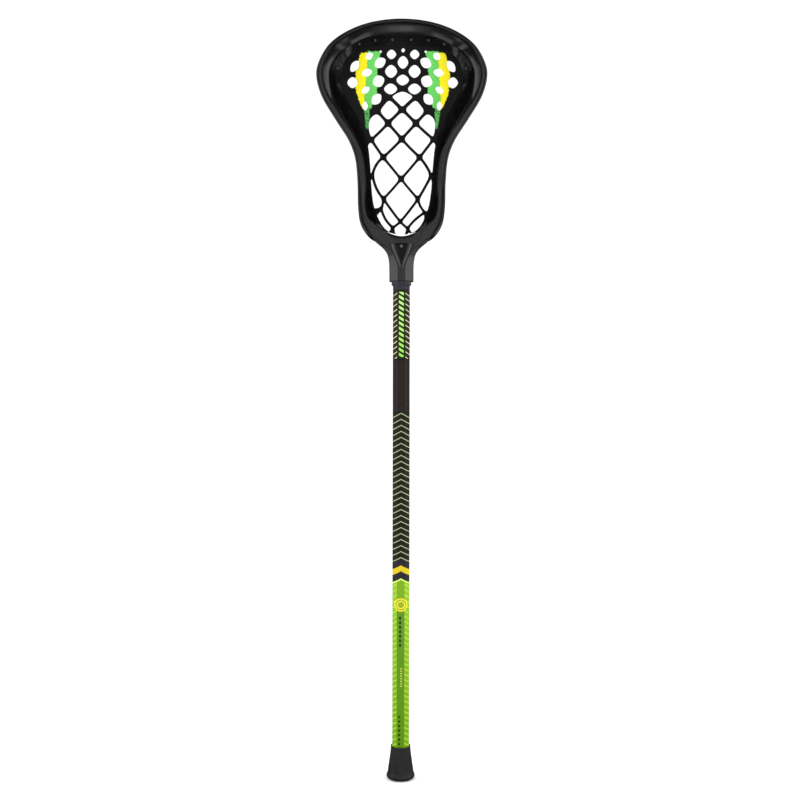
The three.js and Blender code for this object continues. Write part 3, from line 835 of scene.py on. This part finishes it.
def shrunk(sides, distance, corner):
    """The outline inside a ring of strands, distance mm in, its corners rounded over corner mm."""
    flat = [p for side in sides for p in side]
    area = sum(a[0] * b[1] - b[0] * a[1] for a, b in zip(flat, flat[1:] + flat[:1]))
    inset = distance if area > 0 else -distance
    trimmed = []
    for i, side in enumerate(sides):
        pts = np.array(list(side) + [sides[(i + 1) % len(sides)][0]])
        along = np.gradient(pts, axis=0)
        along /= np.linalg.norm(along, axis=1)[:, None]
        pts = pts + np.stack([-along[:, 1], along[:, 0]], axis=1) * inset
        steps = np.linalg.norm(np.diff(pts, axis=0), axis=1)
        length = np.concatenate([[0], np.cumsum(steps)])
        cut = min(corner, 0.46 * length[-1])
        places = np.linspace(cut, length[-1] - cut, 9)
        trimmed.append(np.stack([np.interp(places, length, pts[:, k]) for k in (0, 1)], axis=1))
    out = []
    for i, pts in enumerate(trimmed):
        before, start, after = trimmed[i - 1], pts[0], pts[1] - pts[0]
        end, back = before[-1], before[-1] - before[-2]
        # The two sides' lines meet at the corner that the curve is drawn towards.
        solve = np.linalg.lstsq(np.stack([back, after], axis=1), start - end, rcond=None)[0]
        reach = np.clip(solve[0] * np.linalg.norm(back), 0, 1.3 * corner)
        control = end + back / np.linalg.norm(back) * reach
        for t in np.linspace(0, 1, 9)[1:-1]:
            out.append((1 - t) ** 2 * end + 2 * t * (1 - t) * control + t * t * start)
        out.extend(pts)
    return out


def lattice_hole(letters, width, corner, sign, edge=None):
    """A hole between named junctions; where edge is given, the last side follows the frame."""
    names = letters.split()
    sides = [strand(a, b, sign) for a, b in zip(names, names[1:])]
    if edge:
        rim = [np.array([sign * x, z]) for x, z in edge]
        last = junction(names[-1], sign)
        sides.append([last, (last + rim[0]) / 2])
        sides.append(rim[:-1])
        sides.append([rim[-1], (rim[-1] + junction(names[0], sign)) / 2])
    else:
        sides.append(strand(names[-1], names[0], sign))
    return shrunk(sides, width / 2 - NET_ROUND, corner)


# Junctions round each hole, width of its strands and rounding. A hole with junctions on both
# sides has no twin on the left.
LATTICE = [
    ("q p a p-", 5.0, 5.5),
    ("p b c a", 4.4, 8.0),
    ("a c d c-", 3.9, 7.0),
    ("c e f d", 3.7, 7.0),
    ("d f g f-", 3.6, 7.0),
    ("f h i g", 3.4, 7.0),
    ("g i j i-", 3.3, 6.0),
    ("i k l j", 3.2, 4.5),
    ("j l n n- l-", 3.2, 3.0),
]

# The same for holes that reach the frame: the stations that they run between behind its edge,
# on the right and on the left.
EDGE_HOLES = [
    ("h f e", 3.6, 6.0, (8.05, 9.45), (8.05, 9.45)),
    ("k i h", 3.4, 6.0, (9.65, 11.35), (9.65, 11.2)),
    ("m l k", 3.2, 5.0, (11.85, 13.4), (11.7, 13.4)),
]
BEHIND = 2.6  # how far these holes reach behind the back rail's edge
TOP_EDGE = [(44.4, 819), (44.8, 828), (44.0, 838)]  # the outer side of the hole above them


def net_holes():
    holes = []
    for x, z, a, b, dip in OVAL_HOLES:
        for sign in (1, -1) if x else (1,):
            holes.append(oval(sign * x, z, a + NET_ROUND, b + NET_ROUND, -sign * dip))
    for letters, width, corner in LATTICE:
        for sign in (1,) if "-" in letters else (1, -1):
            holes.append(lattice_hole(letters, width, corner, sign))
    for sign in (1, -1):
        holes.append(lattice_hole("b c e", 3.8, 7.0, sign, TOP_EDGE))
        for letters, width, corner, right_reach, left_reach in EDGE_HOLES:
            places = np.linspace(*(right_reach if sign > 0 else left_reach), 8)
            edge = [net_edge(place, BEHIND) for place in places]
            holes.append(lattice_hole(letters, width, corner, sign, edge))
    return [[(x + (z - NET_LEAN_MIDDLE) * NET_LEAN, z - NET_DROP) for x, z in hole]
            for hole in holes]


class NetSurface:
    """How far back the CAD net's front face lies at any x and z, smoothed, in mm."""

    STEP = 2.5
    MARGIN = 5
    IN_FRONT, AMIDST = -100, 30  # depths that lie before the whole net and near its middle
    RIM = 4  # how many steps from the net's edge nothing is smoothed
    SMOOTHINGS = 10

    def __init__(self):
        graph = bpy.context.evaluated_depsgraph_get()
        tree = BVHTree.FromObject(nodes["pocket_net"], graph)
        low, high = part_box("pocket_net")
        self.x0, self.z0 = low.x / MM - self.MARGIN, low.z / MM - self.MARGIN
        columns = int((high.x - low.x) / MM / self.STEP) + 6
        rows = int((high.z - low.z) / MM / self.STEP) + 6
        self.depth = np.zeros((columns, rows))
        found = np.zeros((columns, rows), bool)
        for i, k in np.ndindex(columns, rows):
            x, z = self.x0 + i * self.STEP, self.z0 + k * self.STEP
            hit = tree.ray_cast(Vector((x, self.IN_FRONT, z)) * MM, Vector((0, 1, 0)))[0]
            found[i, k] = hit is not None
            if hit is None:
                hit = tree.find_nearest(Vector((x, self.AMIDST, z)) * MM)[0]
            self.depth[i, k] = hit.y / MM
        self.smooth(found)

    def smooth(self, found):
        """Evens out the facets wherever the net was found on all four sides."""
        rim = self.RIM
        inside = np.zeros_like(found)
        inside[rim:-rim, rim:-rim] = (found[:-2 * rim, rim:-rim] & found[2 * rim:, rim:-rim]
                                      & found[rim:-rim, :-2 * rim] & found[rim:-rim, 2 * rim:])
        for _ in range(self.SMOOTHINGS):
            d = self.depth
            even = d.copy()
            even[1:-1, 1:-1] = (d[:-2, 1:-1] + d[2:, 1:-1] + d[1:-1, :-2] + d[1:-1, 2:]
                                + 2 * d[1:-1, 1:-1]) / 6
            self.depth = np.where(inside, even, d)

    def at(self, x, z):
        """Depth and its slopes along x and z, for arrays of x and z."""
        i = np.clip((x - self.x0) / self.STEP, 0, self.depth.shape[0] - 1.001)
        k = np.clip((z - self.z0) / self.STEP, 0, self.depth.shape[1] - 1.001)
        i0, k0 = i.astype(int), k.astype(int)
        a, b = i - i0, k - k0
        d = self.depth
        low = d[i0, k0] * (1 - a) + d[i0 + 1, k0] * a
        high = d[i0, k0 + 1] * (1 - a) + d[i0 + 1, k0 + 1] * a
        slope_x = (d[i0 + 1, k0] - d[i0, k0]) * (1 - b) + (d[i0 + 1, k0 + 1] - d[i0, k0 + 1]) * b
        return low * (1 - b) + high * b, slope_x / self.STEP, (high - low) / self.STEP


def net_border(place):
    """How far the net's border reaches behind the back rail, in mm."""
    lip = station(place)[4]
    return max(6.2, lip + 0.6) - NET_ROUND


def flat_net():
    """The net laid flat in Blender's XY plane, made from a filled, bevelled 2D curve."""
    places = [i * len(RING) / NET_POINTS for i in range(NET_POINTS)]
    outline = [net_edge(place, net_border(place)) for place in places]
    curve = bpy.data.curves.new("net_plan", "CURVE")
    curve.dimensions = "2D"
    curve.fill_mode = "BOTH"
    curve.extrude = (NET_THICKNESS / 2 - NET_ROUND) * MM
    curve.bevel_depth = NET_ROUND * MM
    curve.bevel_resolution = 2
    for points in [outline] + net_holes():
        line = curve.splines.new("POLY")
        line.points.add(len(points) - 1)
        for point, (x, z) in zip(line.points, points):
            point.co = (x * MM, z * MM, 0, 1)
        line.use_cyclic_u = True
    plan = placed("net_plan", curve)
    net = placed("pocket_weave", evaluated_mesh(plan))
    bpy.data.objects.remove(plan)
    return net


def pocket_net():
    """The flat net, rounded and then bent over the CAD net's surface."""
    net = flat_net()
    remesh = net.modifiers.new("remesh", "REMESH")
    remesh.mode = "VOXEL"
    remesh.voxel_size = NET_VOXEL * MM
    soften = net.modifiers.new("soften", "SMOOTH")
    soften.factor = 0.5
    soften.iterations = 2
    apply_modifiers(net)
    flat = np.zeros(len(net.data.vertices) * 3)
    net.data.vertices.foreach_get("co", flat)
    x, z, out = (flat.reshape(-1, 3) / MM * (1, 1, -1)).T
    depth, slope_x, slope_z = NetSurface().at(x, z)
    length = np.sqrt(1 + slope_x ** 2 + slope_z ** 2)
    bent = np.stack([
        x - out * slope_x / length,
        depth + NET_THICKNESS / 2 + out / length,
        z - out * slope_z / length,
    ], axis=1)
    net.data.vertices.foreach_set("co", (bent * MM).ravel())
    fix_normals(net)
    shade_smooth(net)
    return net


# ---- the other pieces ----
SHAFT_WALL = 1.3


def sheath(name, rings):
    """A hollow piece from outlines and their heights, up its outside and down its inside."""
    return loft(name, [[(x, y, z) for x, y in outline] for outline, z in rings], ring=True)


def shaft_tube():
    flats = across_flats("shaft")
    low, high = heights("shaft")
    outside, inside = octagon(flats, 1.3, 6), octagon(flats - 2 * SHAFT_WALL, 0.8, 6)
    end = octagon(flats - 0.6, 1.2, 6)
    shaft = sheath("shaft_tube", [
        (outside, low + 0.3), (outside, high - 0.3), (end, high),
        (inside, high), (inside, low), (end, low),
    ])
    return smooth_by_angle(shaft, 40)


# Up the cap: half width across flats, height in mm, and 1 where it is round, 0 where octagonal.
CAP_LEVELS = [
    (12.6, 0.0, 1), (14.4, 0.3, 1), (15.9, 0.9, 1), (16.9, 1.9, 1), (17.4, 3.0, 1),
    (17.5, 3.9, 1), (17.35, 4.9, 1), (16.95, 5.9, 1), (16.45, 7.0, 1), (16.05, 8.3, 1),
    (15.85, 9.8, 0.93), (15.5, 13.0, 0.8), (15.0, 16.5, 0.7), (14.5, 19.8, 0.58),
    (14.0, 23.5, 0.46), (13.5, 27.0, 0.36), (12.95, 31.0, 0.24), (12.5, 34.6, 0.1),
    (12.2, 38.0, 0.0), (12.1, 39.9, 0.0), (11.9, 40.5, 0.0),
]
CAP_SIDES = 128


def cap_radius(angle, half, roundness):
    """The cap's radius at an angle, between a circle's and an octagon's."""
    from_flat = (angle + math.pi / 8) % (math.pi / 4) - math.pi / 8
    return half * (roundness + (1 - roundness) / math.cos(from_flat))


def butt_cap():
    top = heights("butt_cap")[1]
    angles = [2 * math.pi * (k + 0.5) / CAP_SIDES for k in range(CAP_SIDES)]
    rows = []
    for half, z, roundness in CAP_LEVELS:
        radii = [cap_radius(a, half, roundness) for a in angles]
        rows.append([(r * math.cos(a), r * math.sin(a), min(z, top))
                     for r, a in zip(radii, angles)])
    cap = loft("butt_cap_shell", rows)
    hollow = octagon(across_flats("shaft") + 0.5, 1.3, 6)
    joined(cap, [upright("cap_bore", hollow, heights("shaft")[0] - 0.3, top + 2)], "DIFFERENCE")
    return smooth_by_angle(cap, 35)


SLOT_PLACES = (-7.2, -5.2, 5.2, 7.2)
SLOT_HALF, SLOT_DEPTH = 0.35, 0.7


def sleeve_slots(low, high, flats):
    """Upright slots on the collar's front and back, cut SLOT_DEPTH into whichever face they meet."""
    slots = []
    for x in SLOT_PLACES:
        floor = flats / 2 - max(abs(x) - 5.15, 0) - SLOT_DEPTH
        outline = [(x - SLOT_HALF, low), (x + SLOT_HALF, low), (x + SLOT_HALF, high),
                   (x - SLOT_HALF, high)]
        for side in (-1, 1):
            slots.append(loft("slot", [[(px, side * y, pz) for px, pz in outline]
                                       for y in (floor, flats / 2 + 1)]))
    return slots


def socket_sleeve():
    flats = across_flats("socket_sleeve")
    low, high = heights("socket_sleeve")
    collar_top = heights("head_frame")[0] - 0.3
    shaft_flats = across_flats("shaft")
    outside = octagon(shaft_flats + SLEEVE_WALLS, 1.0)
    inside = octagon(shaft_flats + BORE_GAP, 1.0)
    sleeve = sheath("sleeve_shell", [
        (octagon(flats - 0.9, 1.2), low), (octagon(flats, 1.3), low + 0.7),
        (octagon(flats, 1.3), collar_top - 0.3), (octagon(flats - 0.5, 1.3), collar_top),
        (outside, collar_top), (outside, high), (inside, high), (inside, low),
    ])
    joined(sleeve, sleeve_slots(low + 1.6, collar_top + 1, flats), "DIFFERENCE")
    return smooth_by_angle(sleeve, 35)


PAD_THICKNESS = 1.75
PAD_HALF = 1.4  # places round the ring to each side of the throat
PAD_STEPS = 40


def ball_stop_pad():
    """A strip along the inside of the throat that thins towards its ends."""
    rows = []
    for i in range(PAD_STEPS + 1):
        offset = (2 * i / PAD_STEPS - 1) * PAD_HALF
        point, span, depth, rail, lip, *_ = station(THROAT_PLACE + offset)
        thin = PAD_THICKNESS * (1 - 0.75 * abs(offset / PAD_HALF) ** 2.5)
        front_u, rear_u = rail + GROOVE, span - lip + 0.4
        rear_w = knee(span, depth, lip)[1] - 2
        outline = [((front_u, 2.2), 0.7), ((front_u + thin, 2.2), 0.9),
                   ((rear_u + thin, rear_w), 0.9), ((rear_u, rear_w), 0.7)]
        rows.append([point(u, w) for u, w in rounded(outline)])
    return smooth_by_angle(loft("throat_pad", rows), 50)


def softened_copy(node_name, name):
    """A rounded stand-in for a small turned CAD piece, on the same axis."""
    piece = placed(name, nodes[node_name].data.copy())
    bm = bmesh.new()
    bm.from_mesh(piece.data)
    bmesh.ops.remove_doubles(bm, verts=bm.verts, dist=1e-6)
    bmesh.ops.dissolve_limit(bm, angle_limit=0.02, verts=bm.verts, edges=bm.edges)
    bm.to_mesh(piece.data)
    bm.free()
    bevel = piece.modifiers.new("bevel", "BEVEL")
    bevel.width = 0.18 * MM
    bevel.segments = 1
    bevel.limit_method = "ANGLE"
    bevel.angle_limit = math.radians(50)
    rounding = piece.modifiers.new("round", "SUBSURF")
    rounding.levels = rounding.render_levels = 2
    apply_modifiers(piece)
    return smooth_by_angle(piece, 60)


# ---- stage, lights, camera ----
STAGE_HALF, STAGE_FRONT, STAGE_BACK, STAGE_TOP = 6.0, -6.0, 3.4, 6.0
STAGE_CURVE = 1.4


def stage():
    """White paper that lies in front of the stick and curves up behind it."""
    profile = [(STAGE_FRONT, 0.0)]
    for k in range(13):
        angle = math.pi / 2 * k / 12
        profile.append((STAGE_BACK - STAGE_CURVE * (1 - math.sin(angle)),
                        STAGE_CURVE * (1 - math.cos(angle))))
    profile.append((STAGE_BACK, STAGE_TOP))
    vertices = [(x, y, z) for y, z in profile for x in (-STAGE_HALF, STAGE_HALF)]
    faces = [(2 * k, 2 * k + 1, 2 * k + 3, 2 * k + 2) for k in range(len(profile) - 1)]
    floor = new_object("studio_floor", vertices, faces)
    shade_smooth(floor)
    floor.data.materials.append(Shader("studio_paper", (0.93, 0.93, 0.93, 1), 0.9).material)
    # White paper close to a black glossy piece would veil it, so its mirror image is left out.
    floor.visible_glossy = False


def area_light(name, location, target, size, radiance):
    """A rectangular softbox, its width and height in metres, unseen by the camera."""
    data = bpy.data.lights.new(name, "AREA")
    data.shape = "RECTANGLE"
    data.size, data.size_y = size
    data.energy = radiance * math.pi * data.size * data.size_y
    light = placed(name, data)
    light.location = location
    light.rotation_mode = "QUATERNION"
    light.rotation_quaternion = (Vector(target) - light.location).to_track_quat("-Z", "Y")
    light.visible_camera = False


# A name, the right light's place and aim, its size, and the radiance of the right and left ones.
LIGHT_PAIRS = [
    ("side", (1.45, -1.2, 0.9), (0, 0, 0.75), (0.9, 1.6), (0.75, 0.65)),
    ("strip", (1.0, -0.25, 0.82), (0, 0, 0.8), (0.44, 1.58), (2.0, 1.9)),
    ("front", (0.45, -2.2, 0.85), (0.1, 0, 0.75), (0.78, 1.6), (1.0, 0.95)),
    ("low", (0.28, -0.31, 0.03), (0.28, -0.27, 0.9), (0.18, 0.5), (1.6, 1.6)),
    ("floor", (0.75, -0.07, 0.04), (0.7, -0.05, 0.9), (0.5, 0.4), (1.0, 0.9)),
    ("rear", (1.25, 0.55, 0.36), (0, 0, 0.7), (0.8, 0.6), (0.9, 0.8)),
    ("back", (1.2, 1.4, 3.0), (0, 0, 0.7), (0.9, 0.9), (2.5, 2.5)),
]


def lights():
    world = bpy.data.worlds.new("studio")
    world.use_nodes = True
    background = world.node_tree.nodes["Background"]
    background.inputs["Color"].default_value = (1, 1, 1, 1)
    background.inputs["Strength"].default_value = 1.05
    world.cycles_visibility.glossy = False
    scene.world = world
    area_light("front", (0, -2.2, 0.85), (0, -0.1, 0.85), (0.1, 1.6), 0.62)
    area_light("high", (0, -2.2, 2.25), (0, 0, 0.8), (1.8, 0.9), 1.0)
    area_light("low_card", (0, -0.6, 0.06), (0, 0, 0.9), (0.2, 0.26), 1.75)
    for name, (x, y, z), (aim_x, aim_y, aim_z), size, radiances in LIGHT_PAIRS:
        for side, sign, radiance in zip(("right", "left"), (1, -1), radiances):
            area_light(f"{name}_{side}", (sign * x, y, z), (sign * aim_x, aim_y, aim_z), size,
                       radiance)


CAMERA_DISTANCE = 1.30
CAMERA_HEIGHT = 0.4717
CAMERA_X = -0.0015
FOCAL_SHARE = 1.30075  # focal length over the sensor's width
CAMERA_ROLL = -0.1  # degrees


def camera():
    data = bpy.data.cameras.new("camera")
    data.lens = FOCAL_SHARE * data.sensor_width
    view = placed("camera", data)
    view.location = (CAMERA_X, -CAMERA_DISTANCE, CAMERA_HEIGHT)
    view.rotation_euler = (math.pi / 2, math.radians(CAMERA_ROLL), 0)
    scene.camera = view


def pieces():
    finish_piece(head_frame(), head_plastic(), "head_frame")
    net = pocket_net()
    # The head's polish is too dull to mirror the yarn.
    net.visible_glossy = False
    finish_piece(net, net_weave(), "pocket_net")
    finish_piece(shaft_tube(), shaft_print(), "shaft")
    finish_piece(butt_cap(), cap_rubber(), "butt_cap")
    collar = plain_plastic("sleeve_plastic", srgb(30, 29, 32), srgb(42, 40, 44), 0.45)
    finish_piece(socket_sleeve(), collar, "socket_sleeve")
    pad = ball_stop_pad()
    finish_piece(pad, pad_foam(), "ball_stop_pad")
    finish_piece(softened_copy("head_screw", "screw"), screw_steel(), "head_screw")
    pin_plastic = plain_plastic("pin_plastic", srgb(58, 58, 60), srgb(74, 74, 76), 0.4)
    for name in sorted(nodes):
        if "_pin_" in name:
            finish_piece(softened_copy(name, name + "_round"), pin_plastic, name)


camera()
stage()
lights()
pieces()
scene.view_settings.view_transform = "Standard"
